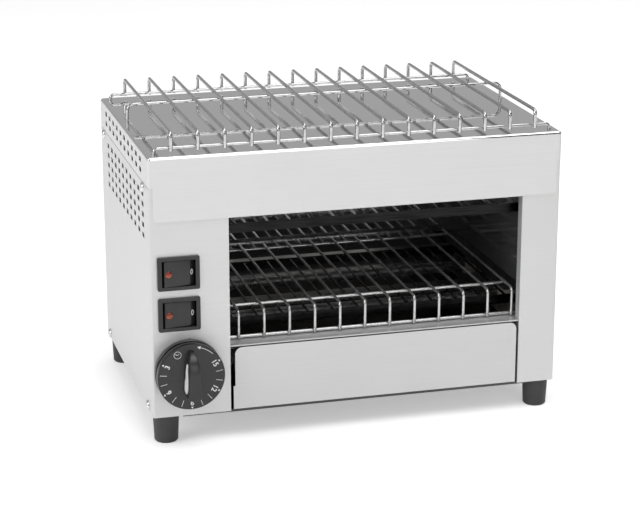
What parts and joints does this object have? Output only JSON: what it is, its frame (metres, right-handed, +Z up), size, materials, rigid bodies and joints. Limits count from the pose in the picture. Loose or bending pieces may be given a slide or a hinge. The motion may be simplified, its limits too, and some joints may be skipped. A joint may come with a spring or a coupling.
{
  "type": "counter-top toaster",
  "caption": "Open-fronted counter-top toaster with a sliding wire rack, crumb drawer, rocker switches, a timer knob and a lift-off warming rack on its roof.",
  "frame": {"origin": "middle of the bounding box, on the surface that the feet stand on", "axes": "+X to the right as seen from the front, +Y from the front to the back, +Z up"},
  "size_m": [0.3548, 0.2636, 0.2627],
  "materials": {
    "outer_steel": "satin brushed stainless steel",
    "inner_steel": "bright rolled steel, a little heat tinted",
    "rack_wire": "polished stainless wire",
    "fastener_steel": "bright zinc plated",
    "black_plastic": "black heat-resistant plastic",
    "white_plastic": "white plastic",
    "amber_lens": "clear amber plastic",
    "quartz": "satin quartz glass",
    "ceramic": "matt white steatite",
    "resistance_wire": "dark oxidised coil",
    "rubber": "matt black rubber",
    "brass": "plain brass",
    "lead_cover": "silicone cover"
  },
  "bodies": {
    "body": {"back_panel": "outer_steel", "back_screws": "fastener_steel", "base_plate": "inner_steel", "chamber_back_wall": "inner_steel", "chamber_floor": "inner_steel", "chamber_left_wall": "inner_steel", "chamber_right_wall": "inner_steel", "chamber_roof": "inner_steel", "cord_gland": "black_plastic", "cross_rails": "inner_steel", "drawer_runners": "inner_steel", "earth_lead": "lead_cover", "earth_nut": "fastener_steel", "earth_stud": "fastener_steel", "feet": "rubber", "foot_nuts": "fastener_steel", "foot_screws": "fastener_steel", "gland_nut": "black_plastic", "heater_leads": "lead_cover", "left_side_panel": "outer_steel", "left_side_screws": "fastener_steel", "lower_filaments": "resistance_wire", "lower_guard": "inner_steel", "lower_heater_link": "fastener_steel", "lower_quartz_tubes": "quartz", "lower_switch_body": "black_plastic", "lower_switch_terminals": "brass", "lower_tube_caps": "ceramic", "rack_rails": "inner_steel", "rack_shelf": "inner_steel", "right_side_panel": "outer_steel", "right_side_screws": "fastener_steel", "supply_leads": "lead_cover", "switch_leads": "lead_cover", "terminal_block": "white_plastic", "terminal_screws": "brass", "timer_body": "black_plastic", "timer_screws": "fastener_steel", "timer_terminals": "brass", "top_cover": "outer_steel", "upper_filaments": "resistance_wire", "upper_guard": "inner_steel", "upper_heater_link": "fastener_steel", "upper_quartz_tubes": "quartz", "upper_switch_body": "black_plastic", "upper_switch_terminals": "brass", "upper_tube_caps": "ceramic"},
    "timer_dial": {"timer_knob": "black_plastic", "timer_pointer": "white_plastic", "timer_shaft": "fastener_steel"},
    "upper_rocker": {"upper_switch_rocker": "black_plastic", "upper_switch_lens": "amber_lens"},
    "lower_rocker": {"lower_switch_rocker": "black_plastic", "lower_switch_lens": "amber_lens"},
    "crumb_drawer": {"drawer_front": "outer_steel", "drawer_tray": "inner_steel"},
    "bread_rack": {"inner_rack": "rack_wire"},
    "warming_rack": {"top_rack": "rack_wire"}
  },
  "joints": [
    {"name": "timer_turn", "type": "hinge", "parent": "body", "child": "timer_dial", "pos_m": [-0.1456, -0.10225, 0.0628], "axis": [0, 1, 0], "range_deg": [-40, 285]},
    {"name": "upper_rock", "type": "hinge", "parent": "body", "child": "upper_rocker", "pos_m": [-0.1517, -0.09675, 0.1471], "axis": [0, 0, -1], "range_deg": [0, 14]},
    {"name": "lower_rock", "type": "hinge", "parent": "body", "child": "lower_rocker", "pos_m": [-0.1517, -0.09675, 0.1124], "axis": [0, 0, -1], "range_deg": [0, 14]},
    {"name": "drawer_slide", "type": "slide", "parent": "body", "child": "crumb_drawer", "axis": [0, -1, 0], "range_m": [0, 0.15]},
    {"name": "rack_slide", "type": "slide", "parent": "body", "child": "bread_rack", "axis": [0, -1, 0], "range_m": [0, 0.12]},
    {"name": "warming_rack_lift", "type": "slide", "parent": "body", "child": "warming_rack", "axis": [0, 0, 1], "range_m": [0, 0.06]}
  ]
}
